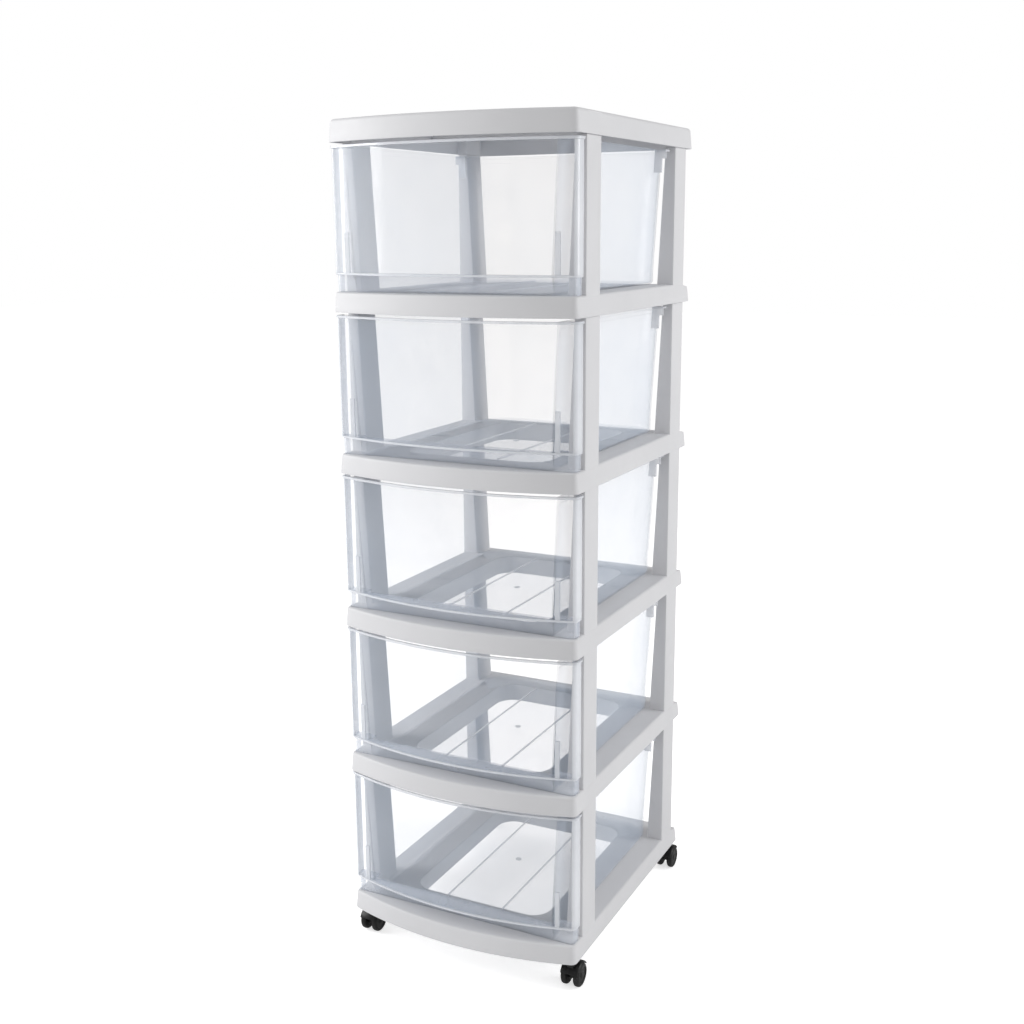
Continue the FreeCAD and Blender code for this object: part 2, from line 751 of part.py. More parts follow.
def cut_inside(body):
    """Take out the inside of the tub, which above the ledge reaches out to the bowed panel."""
    inside = doc.addObject("PartDesign::Body", "inside")
    tub(inside, "tub_wall")
    bays = []
    for level in ("ledge_height + panel_wall", "drawer_height"):
        sketch = new_sketch(inside, level)
        bowed_outline(sketch, f"{tub_side(level)} - tub_wall", "panel_middle + panel_wall",
                      "panel_bow_radius - panel_wall", "panel_back", "tub_wall", "tub_wall")
        bays.append(sketch)
    loft(inside, "AdditiveLoft", bays)
    cut = body.newObject("PartDesign::Boolean", "cut")
    cut.Type = "Cut"
    cut.setObjects([inside])


def drawer_ribs(body):
    """Two low ribs along the floor and a rib behind each end of the front."""
    half = "floor_rib_width / 2"
    floor = new_sketch(body, "tub_wall / 2")
    bar(floor, f"floor_rib_offset - {half}", f"floor_rib_offset + {half}",
        "tub_front + floor_rib_margin", "tub_rear_bottom - floor_rib_margin")
    floor_rib = extrude(body, "Pad", floor, "tub_wall / 2 + floor_rib_height")
    half = "wing_rib_width / 2"
    wing = new_sketch(body, "ledge_height + panel_wall / 2")
    bar(wing, f"wing_rib_place - {half}", f"wing_rib_place + {half}",
        bow_line("panel_middle", "panel_bow_radius", "panel_wall / 2", "wing_rib_place"),
        bow_line("panel_middle", "panel_bow_radius", "panel_wall + wing_rib_depth",
                 "wing_rib_place"))
    wing_rib = extrude(body, "Pad", wing, "wing_rib_height - ledge_height - panel_wall / 2")
    mirror(body, [floor_rib, wing_rib])


def drawer(name):
    """Clear one-piece drawer that slides on the deck of its tier frame."""
    body = new_body(name)
    tub(body)
    front_panel(body)
    side_rim(body)
    stop_lugs(body)
    wing_hollows(body)
    cut_inside(body)
    drawer_ribs(body)
    return body


# Casters: the origin of each piece is on the floor under the stem, that of a wheel at its centre


def caster_stem(name):
    """Turned pin with a grip groove near its chamfered upper end."""
    body = new_body(name)
    sketch = new_sketch(body, role="XZ_Plane")
    groove_top = "stem_top - stem_groove_drop"
    groove_bottom = f"{groove_top} - stem_groove_width"
    waist = "stem_radius - stem_groove_depth"
    polygon(sketch, [("0", "stem_bottom"), ("stem_radius", "stem_bottom"),
                     ("stem_radius", groove_bottom), (waist, groove_bottom),
                     (waist, groove_top), ("stem_radius", groove_top),
                     ("stem_radius", "stem_top - stem_tip_chamfer"),
                     ("stem_radius - stem_tip_chamfer", "stem_top"), ("0", "stem_top")])
    revolve(body, "Revolution", sketch, (sketch, ["V_Axis"]))
    return body


def fender_sketch(body):
    """Band of two concentric arcs round the wheels, seen along the axle."""
    sketch = new_sketch(body, role="YZ_Plane")
    low = math.radians(number("fender_rear_angle"))
    high = math.radians(number("fender_front_angle"))
    x, y = number("caster_trail"), number("wheel_radius")
    inner = number("wheel_radius + fender_gap")
    outer = inner + number("fender_wall")

    def ray(angle, start, end):
        return line(x + start * math.cos(angle), y + start * math.sin(angle),
                    x + end * math.cos(angle), y + end * math.sin(angle))

    sketch.addGeometry([arc(x, y, outer, low, high), ray(high, outer, inner),
                        arc(x, y, inner, low, high), ray(low, inner, outer)], False)
    constrain(sketch, "Coincident", 0, 2, 1, 1)
    constrain(sketch, "Coincident", 1, 2, 2, 2)
    constrain(sketch, "Coincident", 2, 1, 3, 1)
    constrain(sketch, "Coincident", 3, 2, 0, 1)
    constrain(sketch, "Coincident", 0, 3, 2, 3)
    locate(sketch, "X", 0, 3, "caster_trail")
    locate(sketch, "Y", 0, 3, "wheel_radius")
    set_radius(sketch, 0, "wheel_radius + fender_gap + fender_wall")
    set_radius(sketch, 2, "wheel_radius + fender_gap")
    for ray_edge, angle in ((3, "fender_rear_angle"), (1, "fender_front_angle - 180")):
        index = constrain(sketch, "Angle", ray_edge, math.radians(number(angle)))
        sketch.setExpression(f"Constraints[{index}]", bound(f"({angle}) * 1deg"))
    return sketch


def caster_hood(name):
    """Central web between the wheels, a fender over them and a neck bored for the stem."""
    body = new_body(name)
    extrude(body, "Pad", fender_sketch(body), "2 * fender_half", both_sides=True)
    web = new_sketch(body, role="YZ_Plane")
    reach = "wheel_radius + fender_gap + fender_wall / 2"
    polygon(web, [("caster_trail - hood_hub_radius", "wheel_radius"),
                  ("caster_trail + hood_hub_radius", "wheel_radius"),
                  ("caster_trail + hood_hub_radius",
                   f"wheel_radius + ({reach}) * web_reach_share"),
                  ("caster_trail", f"wheel_radius + {reach}"),
                  ("-hood_neck_radius / 2", "hood_top - stem_hood_depth"),
                  (f"caster_trail - ({reach}) * web_reach_share",
                   f"wheel_radius + ({reach}) * web_rise_share")])
    extrude(body, "Pad", web, "hood_web", both_sides=True)
    hub = new_sketch(body, role="YZ_Plane")
    circle(hub, "caster_trail", "wheel_radius", "hood_hub_radius")
    extrude(body, "Pad", hub, "hood_web", both_sides=True)
    neck = new_sketch(body, "wheel_radius + hood_hub_radius")
    circle(neck, "0", "0", "hood_neck_radius")
    extrude(body, "Pad", neck, "hood_top - wheel_radius - hood_hub_radius")
    space = new_sketch(body, "hood_web / 2", role="YZ_Plane")
    circle(space, "caster_trail", "wheel_radius", "wheel_radius + fender_gap")
    mirror(body, [extrude(body, "Pocket", space, "fender_half", reverse=True)])
    socket = new_sketch(body, "stem_bottom")
    circle(socket, "0", "0", "stem_radius")
    extrude(body, "Pocket", socket, "stem_hood_depth", reverse=True)
    bore = new_sketch(body, role="YZ_Plane")
    circle(bore, "caster_trail", "wheel_radius", "axle_radius")
    extrude(body, "Pocket", bore, "hood_web + overrun", both_sides=True)
    return body


def caster_axle(name):
    """Plain steel pin through the web and both wheels."""
    body = new_body(name)
    sketch = new_sketch(body, role="YZ_Plane")
    circle(sketch, "caster_trail", "wheel_radius", "axle_radius")
    extrude(body, "Pad", sketch, "2 * axle_half", both_sides=True)
    return body


def caster_wheel(name, side):
    """Moulded wheel with a rounded tread, a dished outer face, a raised hub and a blind bore."""
    body = new_body(name)
    sketch = new_sketch(body)
    sign = "" if side > 0 else "-"
    dish = "wheel_outer - wheel_dish_depth"
    profile = [("wheel_inner", "wheel_bore"), ("wheel_inner", "wheel_radius"),
               ("wheel_outer", "wheel_radius"), ("wheel_outer", "wheel_dish_level"),
               (dish, "wheel_dish_level - wheel_dish_depth"),
               (dish, "wheel_hub_radius + wheel_dish_depth"), ("wheel_outer", "wheel_hub_radius"),
               ("wheel_outer", "0"), ("axle_half + wheel_gap", "0"),
               ("axle_half + wheel_gap", "wheel_bore")]
    polygon(sketch, [(f"{sign}({x})", y) for x, y in profile])
    revolve(body, "Revolution", sketch, (sketch, ["H_Axis"]))
    tread = number("wheel_radius - wheel_gap")
    round_edges(body, "wheel_edge_radius", lambda edge: edge.BoundBox.ZMax > tread)
    return body


# Assembly

parts = [stand(top_cover("top_cover"), "0", "0", f"caster_height + {TIERS} * tier_pitch")]
first_frame = tier_frame("tier_frame_1")
first_drawer = drawer("drawer_1")
for tier in range(1, TIERS + 1):
    height = f"caster_height + {TIERS - tier} * tier_pitch"
    if tier == 1:
        frame, tray = first_frame, first_drawer
    else:
        tray = new_body(f"drawer_{tier}", first_drawer)
        frame = (tier_frame("base_frame", on_casters=True) if tier == TIERS
                 else new_body(f"tier_frame_{tier}", first_frame))
    parts.append(stand(frame, "0", "0", height))
    parts.append(stand(tray, "0", "0", f"{height} + plate_height"))

CORNERS = {"front_left": ("-stem_side", "stem_front"), "front_right": ("stem_side", "stem_front"),
           "rear_left": ("-stem_side", "stem_rear"), "rear_right": ("stem_side", "stem_rear")}
first_caster = {"stem": caster_stem("caster_stem_front_left"),
                "hood": caster_hood("caster_hood_front_left"),
                "axle": caster_axle("caster_axle_front_left"),
                "wheel_left": caster_wheel("caster_wheel_left_front_left", -1),
                "wheel_right": caster_wheel("caster_wheel_right_front_left", 1)}
for corner, (side, front) in CORNERS.items():
    for piece, first in first_caster.items():
        body = first if corner == "front_left" else new_body(f"caster_{piece}_{corner}", first)
        if piece.startswith("wheel"):
            stand(body, side, f"{front} + caster_trail", "wheel_radius")
        else:
            stand(body, side, front, "0")
        parts.append(body)

doc.recompute()
for item in doc.Objects:
    if {"Invalid", "Error"} & set(item.State):
        raise RuntimeError(f"{item.Label} failed: {item.getStatusString()}")
for part in parts:
    shape = part.Shape
    if shape.isNull() or not shape.isValid() or len(shape.Solids) != 1:
        raise RuntimeError(f"{part.Label} is not one valid solid")

os.makedirs("parts", exist_ok=True)
for part in parts:
    part.Shape.exportStep(f"parts/{part.Label}.step")
    print(part.Label, round(part.Shape.Volume / 1000, 1), "cm3")
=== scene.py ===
"""Looks of a plastic drawer tower: pale grey moulded frames, clear drawers and black casters."""

import math

import bpy
import numpy as np
from mathutils import Matrix, Vector


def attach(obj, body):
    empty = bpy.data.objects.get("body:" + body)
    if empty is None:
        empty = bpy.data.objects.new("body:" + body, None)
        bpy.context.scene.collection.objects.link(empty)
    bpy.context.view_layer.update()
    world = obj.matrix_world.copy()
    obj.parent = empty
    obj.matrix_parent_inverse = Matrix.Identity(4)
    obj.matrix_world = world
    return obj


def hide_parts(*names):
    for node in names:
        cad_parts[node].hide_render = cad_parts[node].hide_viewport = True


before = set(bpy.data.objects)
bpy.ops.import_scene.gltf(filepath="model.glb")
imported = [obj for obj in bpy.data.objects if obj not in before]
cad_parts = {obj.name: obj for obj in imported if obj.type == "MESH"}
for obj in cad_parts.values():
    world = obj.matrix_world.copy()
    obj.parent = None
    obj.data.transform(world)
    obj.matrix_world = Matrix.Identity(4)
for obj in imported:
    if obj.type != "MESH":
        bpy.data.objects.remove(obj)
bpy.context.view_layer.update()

# Sizes in millimetres, as the part's source has them

# Plates
TIERS, PITCH, LIFT = 5, 195.5, 42
HALF, REAR, FRONT, BOW = 160, 194.5, -201.5, 26
CORNER = FRONT + BOW
BOW_RADIUS = (HALF**2 + BOW**2) / (2 * BOW)
FRONT_ROUND, REAR_ROUND = 9, 8
PLATE, PLATE_EDGE, COVER, COVER_EDGE = 24, 3, 26, 5
FLARE, SKIRT, DECK = 2.4, 2.4, 2.8
SLOPE_START, SLOPE_DROP = REAR - 19.5, 6.5
OPENING_HALF, OPENING_ROUND, OPENING_WALL = 95, 25, 2.2
OPENING_FRONT, OPENING_REAR = CORNER + 44.5, REAR - 55
DECK_HALF = HALF - FLARE
# Insets and heights of the rounded inner foot of a skirt
SKIRT_FOOT = [(SKIRT + 0.05, 0.5), (SKIRT - 0.4, 0)]
# Posts
POST_DEPTH, FOOT, TOP, POST_WALL, POST_EDGE = 40, 23.5, 14, 2.2, 1.5
POST_INNER_EDGE, SHOULDER_INSET, SHOULDER_EDGE = 0.6, 0.6, 1.0
POST_FRONTS = (CORNER + 27, REAR - 21 - POST_DEPTH)
TENON, TENON_GAP, TENON_EDGE, TENON_TAPER, COLLAR_EDGE = 14, 0.3, 0.4, 1, 0.5
# Ribs under the plates and under the cover
RIB, RIB_GAP, SIDE_RIBS, END_RIB = 1.8, 3, 56, 55
COVER_RIB_DEPTH, COVER_RIBS = 9, 62
# Drawer tub
DRAWER, LEDGE, TUB_WALL = 168, 20, 2
TUB_HALF, TUB_TOP_HALF, TUB_ROUND, TUB_FOOT = 130, 137.5, 42, 5
TUB_REAR, TUB_LEAN = REAR - 26.5, 5
RIM_REACH, RIM_WALL, RIM_STEP, RIM_STEP_HEIGHT = 3.5, 2.4, 1.6, 8
STOP_REAR, STOP_LENGTH = POST_FRONTS[1] - 4.5, 14
STOP_REACH, STOP_HEIGHT, STOP_STEP, STOP_STEP_HEIGHT = 13.5, 11, 8.5, 28
# Drawer front
PANEL_HALF, PANEL_MIDDLE, PANEL_WALL, PANEL_ROUND = 158, FRONT + 4, 2.2, 6
PANEL_RADIUS, PANEL_BACK = BOW_RADIUS - 4, POST_FRONTS[0] - 9
STRIP_HALF, STRIP_FRONT = 156, CORNER + 3.5
LIP, LIP_REACH = 3, 1.6
# The panel proper starts above the bead along its foot
PANEL_FOOT = LEDGE + 2.6
# The tub's sides start further back above the ledge, and the wings start inside its rim
SIDE_FRONT = PANEL_MIDDLE + PANEL_WALL + 19
WING_START = TUB_TOP_HALF - 1.5
WING_RIB, WING_RIB_HALF, WING_RIB_DEPTH, WING_RIB_TOP = PANEL_HALF - 22, 2.75, 1.5, 69
FLOOR_RIBS, FLOOR_RIB_HALF, FLOOR_RIB_TOP, FLOOR_RIB_MARGIN = 40, 0.8, 2.8, 34
GATE_Y, GATE_RADIUS, GATE_HEIGHT = -8, 2.5, 4
# Casters
TRAIL, WHEEL, HOOD_TOP, SWIVEL_GAP = 7, 15, 44, 0.3
AXLE, HUB, NECK, STEM, BOSS, BORE = 1.75, 6.5, 6.6, 4, 7.6, 4.3
NECK_FOOT, STEM_FOOT = 30.4, 35
BOSS_FOOT, BORE_END, BOSS_END = HOOD_TOP - LIFT, 19, 18.5
WEB_HALF, FENDER_HALF, FENDER_GAP, FENDER_WALL = 3.7, 11.8, 0.8, 1.8
FENDER_START, FENDER_END = 34, 158
WHEEL_INNER, WHEEL_OUTER = 4.2, 12.4
STEMS = {"front_left": (-147, CORNER + 17.5), "front_right": (147, CORNER + 17.5),
         "rear_left": (-147, REAR - 15), "rear_right": (147, REAR - 15)}

# A surface buried in another one of the same moulding starts this far inside it
BURIED = 1.0
# A surface of revolution ends at this radius, where a flat face closes it
POLE = 0.02
QUARTER = math.pi / 2
# Edges between faces at a wider angle than this, in degrees, are drawn sharp
SHARP_ANGLE = 32.0

# Points along the bow, a corner and a side of a plate; the opening in its deck has as many
BOW_STEPS, CORNER_STEPS, SIDE_STEPS = 44, 8, 16
# Points along an edge of a post, up a post and over an edge of a plate and of the cover
EDGE_STEPS, POST_STEPS, PLATE_EDGE_STEPS, COVER_EDGE_STEPS = 5, 12, 6, 8
# Points along a side, a corner, the rear and the rounded bottom edge of a tub
TUB_SIDE_STEPS, TUB_CORNER_STEPS, TUB_REAR_STEPS, TUB_FOOT_STEPS = 24, 18, 20, 9
# Points along a return, a corner and the bow of a panel, then along a strip and the ledge
RETURN_STEPS, PANEL_CORNER_STEPS, PANEL_STEPS = 6, 10, 72
RETURN_POINTS = RETURN_STEPS + PANEL_CORNER_STEPS
STRIP_RETURN_STEPS, STRIP_STEPS, LEDGE_STEPS = 4, 40, 60
# Points round the small turned shapes, round a wheel and along a fender
TURNED_STEPS, GATE_STEPS, WHEEL_STEPS, FENDER_STEPS = 40, 32, 56, 40

# Strengths of the surroundings and of the floor's own light: on the object and to the camera
WORLD_LIT, WORLD_SEEN = 0.52, 1.0
FLOOR_LIT, FLOOR_GLOW = 0.15, 0.62
# Floor and lamps: metres, degrees from the front and watts
FLOOR_REACH = 12
LAMP_DISTANCE, LAMP_HEIGHT, LAMP_WIDTH, LAMP_TALL = 2.4, 1.55, 1.4, 1.8
LAMP_TARGET = (0, 0, 0.55)
LEFT_SIDE, LEFT_POWER, RIGHT_SIDE, RIGHT_POWER = -63, 52, 108, 31
# Camera that was fitted to the photograph: pixels, millimetres, metres and degrees
FRAME_PIXELS, FOCAL_PIXELS, SENSOR = 1024, 1271.98, 36
CAMERA_PLACE = (0.7218, -1.4526, 0.9216)
CAMERA_YAW, CAMERA_PITCH, CAMERA_ROLL = (math.radians(a) for a in (-26.7619, 12.6112, 0.3945))


# Outlines


def turn(x, y, radius, start, end, count):
    """Points on a circle about (x, y), radius times (cos a, sin a), without the last one."""
    a = np.linspace(start, end, count + 1)[:-1]
    return np.stack([x + radius * np.cos(a), y + radius * np.sin(a)], 1)


def run(start, end, count):
    """Points spaced evenly on the straight line from start to end, without the last one."""
    t = np.linspace(0, 1, count + 1)[:-1, None]
    return np.asarray(start, float) * (1 - t) + np.asarray(end, float) * t


def front_arc(half, middle, radius, corner):
    """Centre (x, y) of the corner arc at the bow's right end, Y of the bow's own centre and the angle
    at which the two meet: the corner's centre lies radius less corner from the bow's centre."""
    x = half - corner
    centre = middle + radius
    y = centre - math.sqrt((radius - corner) ** 2 - x**2)
    return x, y, centre, math.atan2(y - centre, x)


def bowed_plan(half, rear, front_round, rear_round, middle, radius):
    """Closed outline seen from above: a front that bows along a circle, tangent corner arcs,
    straight sides and a straight rear. Every such outline has the same number of points."""
    a, b = max(front_round, 0.3), max(rear_round, 0.3)
    x, y, centre, tilt = front_arc(half, middle, radius, a)
    c = half - b
    return np.concatenate([
        turn(0, centre, radius, -math.pi - tilt, tilt, BOW_STEPS),
        turn(x, y, a, tilt, 0, CORNER_STEPS),
        run((half, y), (half, rear - b), SIDE_STEPS),
        turn(c, rear - b, b, 0, QUARTER, CORNER_STEPS),
        run((c, rear), (-c, rear), SIDE_STEPS),
        turn(-c, rear - b, b, QUARTER, math.pi, CORNER_STEPS),
        run((-half, rear - b), (-half, y), SIDE_STEPS),
        turn(-x, y, a, math.pi, math.pi - tilt, CORNER_STEPS)])


def plate_plan(inset):
    """Plan of a plate, moved inward by an inset."""
    return bowed_plan(HALF - inset, REAR - inset, FRONT_ROUND - inset, REAR_ROUND - inset,
                      FRONT + inset, BOW_RADIUS - inset)


def opening_plan(inset):
    """Plan of the opening in a deck, moved inward by an inset, with as many points as a plate's."""
    half, r = OPENING_HALF - inset, OPENING_ROUND - inset
    x, y0, y1 = half - r, OPENING_FRONT + inset + r, OPENING_REAR - inset - r
    return np.concatenate([
        run((-x, y0 - r), (x, y0 - r), BOW_STEPS),
        turn(x, y0, r, -QUARTER, 0, CORNER_STEPS),
        run((half, y0), (half, y1), SIDE_STEPS),
        turn(x, y1, r, 0, QUARTER, CORNER_STEPS),
        run((x, y1 + r), (-x, y1 + r), SIDE_STEPS),
        turn(-x, y1, r, QUARTER, math.pi, CORNER_STEPS),
        run((-half, y1), (-half, y0), SIDE_STEPS),
        turn(-x, y0, r, math.pi, 3 * QUARTER, CORNER_STEPS)])


def block_plan(left, right, front, rear, r):
    """Rectangle with four equal corner arcs."""
    return np.concatenate([
        turn(left + r, front + r, r, -math.pi, -QUARTER, EDGE_STEPS), [[left + r, front]],
        turn(right - r, front + r, r, -QUARTER, 0, EDGE_STEPS), [[right, front + r]],
        turn(right - r, rear - r, r, 0, QUARTER, EDGE_STEPS), [[right - r, rear]],
        turn(left + r, rear - r, r, QUARTER, math.pi, EDGE_STEPS), [[left, rear - r]]])


def raised(outline, z):
    """Outline at a height, which may be one number or one for each point."""
    return np.column_stack([outline, np.broadcast_to(z, len(outline))])


def rounded_top(height, radius, steps):
    """Insets and heights up a skirt that leans in by FLARE over its height, and on round an edge of
    the given radius: inset = centre - radius cos a, height = top - radius (1 - sin a)."""
    lean = math.atan(FLARE / height)
    start = height - radius
    centre = FLARE * start / height + radius / math.cos(lean)
    foot = [(0.5, 0), (0.12, 0.15), (0.05, 0.5), (FLARE * 7 / height, 7), (FLARE * 14 / height, 14)]
    return foot + [(centre - radius * math.cos(a), start + radius * math.sin(a))
                   for a in np.linspace(lean, QUARTER, steps + 1)] + [(centre + BURIED, height)]


# Meshes


def skin(loops, ring=False):
    """Points and faces of a surface through a stack of equal loops, each a row of a grid whose other
    parameter runs from loop to loop. It closes as a ring, or with a flat face at each end."""
    grid = np.asarray(loops, float)
    rows, columns = grid.shape[:2]
    i = np.arange(rows if ring else rows - 1)[:, None]
    j = np.arange(columns)[None, :]
    up, along = (i + 1) % rows, (j + 1) % columns
    quads = np.stack([i * columns + j, i * columns + along, up * columns + along,
                      up * columns + j], -1).reshape(-1, 4).tolist()
    if not ring:
        quads.append(list(range(columns))[::-1])
        quads.append(list(range((rows - 1) * columns, rows * columns)))
    return grid.reshape(-1, 3), quads


def turned_out(shape):
    """The same surface with every face turned over."""
    return shape[0], [face[::-1] for face in shape[1]]


def mirrored(shape):
    """The surface on the other side of X = 0, with its faces turned to point outwards again."""
    return turned_out((shape[0] * (-1, 1, 1), shape[1]))


def joined(*shapes):
    """Several surfaces as one list of points and one of faces."""
    points, faces, start = [], [], 0
    for p, f in shapes:
        points.append(p)
        faces += [[n + start for n in face] for face in f]
        start += len(p)
    return np.concatenate(points), faces


def both_sides(shape):
    """The surface and its mirror image."""
    return joined(shape, mirrored(shape))


def moved(shape, x=0.0, y=0.0, z=0.0):
    """The surface moved by a distance along each axis."""
    return shape[0] + (x, y, z), shape[1]


def slab(outline, bottom, top):
    """Flat plate between two heights."""
    return skin([raised(outline, bottom), raised(outline, top)])


def bar(left, right, front, rear, bottom, top):
    """Six flat faces between pairs of limits."""
    return slab(np.array([[left, front], [right, front], [right, rear], [left, rear]], float),
                bottom, top)


def spun(profile, count):
    """Surface of revolution about the X axis: each (x, r) of the profile goes to
    (x, r cos a, r sin a) for a full turn of a, and a flat face closes each end."""
    a = np.linspace(0, 2 * math.pi, count + 1)[:-1]
    return skin([np.column_stack([np.full(count, x), r * np.cos(a), r * np.sin(a)])
                 for x, r in profile])


def upright(shape):
    """A surface of revolution about X turned to stand on the Z axis."""
    return shape[0][:, [1, 2, 0]], shape[1]


def swept(line, profile):
    """Surface whose closed profile of (inset, height) pairs is carried along an open line: the grid
    holds line(inset) at that height for each place on the line and each profile point, and a flat
    face closes each end."""
    return turned_out(skin(np.stack([raised(line(inset), z) for inset, z in profile], 1)))


def piece(name, shapes, body, materials, node):
    """Mesh object in metres that rides on a body and stands for a CAD node. Each of its shapes has
    the material of the same place in the list."""
    points, faces = joined(*shapes)
    mesh = bpy.data.meshes.new(name)
    mesh.from_pydata((points / 1000).tolist(), [], faces)
    mesh.shade_smooth()
    mesh.set_sharp_from_angle(angle=math.radians(SHARP_ANGLE))
    for material in materials:
        mesh.materials.append(material)
    places = np.repeat(np.arange(len(shapes)), [len(shape[1]) for shape in shapes])
    mesh.polygons.foreach_set("material_index", places.astype(np.int32))
    mesh.update()
    made = bpy.data.objects.new(name, mesh)
    bpy.context.scene.collection.objects.link(made)
    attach(made, body)
    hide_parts(node)


# Materials


def new_material(name):
    """Empty node tree with its output."""
    material = bpy.data.materials.new(name)
    material.use_nodes = True
    nodes, links = material.node_tree.nodes, material.node_tree.links
    nodes.clear()
    return material, nodes, links, nodes.new("ShaderNodeOutputMaterial")


def mottle(nodes, links, scale, detail=3.0, stretch=(1, 1, 1)):
    """Noise over the piece's own Object coordinates."""
    place = nodes.new("ShaderNodeTexCoord")
    mapping = nodes.new("ShaderNodeMapping")
    mapping.inputs["Scale"].default_value = stretch
    noise = nodes.new("ShaderNodeTexNoise")
    noise.inputs["Scale"].default_value = scale
    noise.inputs["Detail"].default_value = detail
    links.new(place.outputs["Object"], mapping.inputs["Vector"])
    links.new(mapping.outputs["Vector"], noise.inputs["Vector"])
    return noise.outputs["Fac"]


def between(nodes, links, factor, low, high, start=0.3, end=0.7):
    """Number that runs from low to high as a factor goes over a range."""
    span = nodes.new("ShaderNodeMapRange")
    span.inputs["From Min"].default_value = start
    span.inputs["From Max"].default_value = end
    span.inputs["To Min"].default_value = low
    span.inputs["To Max"].default_value = high
    links.new(factor, span.inputs["Value"])
    return span.outputs["Result"]


def tinted(nodes, links, factor, low, high):
    """Colour that runs between two close shades over a factor."""
    ramp = nodes.new("ShaderNodeValToRGB")
    for element, place, shade in zip(ramp.color_ramp.elements, (0.3, 0.7), (low, high)):
        element.position = place
        element.color = (*shade, 1)
    links.new(factor, ramp.inputs["Fac"])
    return ramp.outputs["Color"]


def grained(nodes, links, factor, strength, depth):
    """Normal bent by a grain of the given depth in metres."""
    bump = nodes.new("ShaderNodeBump")
    bump.inputs["Strength"].default_value = strength
    bump.inputs["Distance"].default_value = depth
    links.new(factor, bump.inputs["Height"])
    return bump.outputs["Normal"]


def moulded_plastic(name, low, high, rough, grain, sheen):
    """Opaque moulded plastic: two close shades in soft patches, uneven gloss and a fine grain."""
    material, nodes, links, output = new_material(name)
    shader = nodes.new("ShaderNodeBsdfPrincipled")
    patches = mottle(nodes, links, scale=9.0)
    links.new(tinted(nodes, links, patches, low, high), shader.inputs["Base Color"])
    gloss = mottle(nodes, links, scale=60.0)
    links.new(between(nodes, links, gloss, *rough), shader.inputs["Roughness"])
    shader.inputs["Specular IOR Level"].default_value = sheen
    fine = mottle(nodes, links, scale=900.0, detail=2.0)
    links.new(grained(nodes, links, fine, strength=grain, depth=0.0002), shader.inputs["Normal"])
    links.new(shader.outputs["BSDF"], output.inputs["Surface"])
    return material


def clear_plastic(name, low, high, share, milk):
    """Clear plastic: a wall lets light through face on, with a faint warm tint, and turns into a
    glossy cool body at a slant. It has faint milky patches and shallow flow waves from the mould."""
    material, nodes, links, output = new_material(name)
    waves = mottle(nodes, links, scale=12.0, detail=1.0, stretch=(1, 1, 0.4))
    normal = grained(nodes, links, waves, strength=0.12, depth=0.002)
    body = nodes.new("ShaderNodeBsdfPrincipled")
    patches = mottle(nodes, links, scale=6.0)
    links.new(tinted(nodes, links, patches, low, high), body.inputs["Base Color"])
    gloss = mottle(nodes, links, scale=30.0)
    links.new(between(nodes, links, gloss, low=0.07, high=0.16), body.inputs["Roughness"])
    body.inputs["IOR"].default_value = 1.6
    body.inputs["Specular IOR Level"].default_value = 0.9
    links.new(normal, body.inputs["Normal"])
    through = nodes.new("ShaderNodeBsdfTransparent")
    through.inputs["Color"].default_value = (0.999, 0.993, 0.988, 1)
    slant = nodes.new("ShaderNodeLayerWeight")
    slant.inputs["Blend"].default_value = 0.15
    links.new(normal, slant.inputs["Normal"])
    total = nodes.new("ShaderNodeMath")
    total.operation = "ADD"
    links.new(between(nodes, links, slant.outputs["Facing"], *share, 0.0, 1.0), total.inputs[0])
    milky = mottle(nodes, links, scale=18.0)
    links.new(between(nodes, links, milky, low=0.0, high=milk), total.inputs[1])
    mix = nodes.new("ShaderNodeMixShader")
    links.new(total.outputs["Value"], mix.inputs["Fac"])
    links.new(through.outputs["BSDF"], mix.inputs[1])
    links.new(body.outputs["BSDF"], mix.inputs[2])
    links.new(mix.outputs["Shader"], output.inputs["Surface"])
    return material


def plated_steel(name):
    """Bright plated steel with fine turned lines."""
    material, nodes, links, output = new_material(name)
    shader = nodes.new("ShaderNodeBsdfPrincipled")
    lines = mottle(nodes, links, scale=300.0, detail=2.0, stretch=(1, 1, 6))
    links.new(tinted(nodes, links, lines, (0.50, 0.50, 0.51), (0.66, 0.66, 0.67)),
              shader.inputs["Base Color"])
    links.new(between(nodes, links, lines, low=0.22, high=0.38), shader.inputs["Roughness"])
    shader.inputs["Metallic"].default_value = 1.0
    links.new(shader.outputs["BSDF"], output.inputs["Surface"])
    return material


def pale_floor(name):
    """White studio floor: a matt white that also glows to the camera, as an overlit sweep does, and
    keeps a faint shadow under the casters."""
    material, nodes, links, output = new_material(name)
    shader = nodes.new("ShaderNodeBsdfPrincipled")
    patches = mottle(nodes, links, scale=2.0)
    links.new(tinted(nodes, links, patches, (0.79, 0.79, 0.79), (0.81, 0.81, 0.81)),
              shader.inputs["Base Color"])
    shader.inputs["Roughness"].default_value = 0.9
    shader.inputs["Specular IOR Level"].default_value = 0.1
    shader.inputs["Emission Color"].default_value = (1, 1, 1, 1)
    path = nodes.new("ShaderNodeLightPath")
    links.new(between(nodes, links, path.outputs["Is Camera Ray"], FLOOR_LIT, FLOOR_GLOW, 0.0, 1.0),
              shader.inputs["Emission Strength"])
    links.new(shader.outputs["BSDF"], output.inputs["Surface"])
    return material


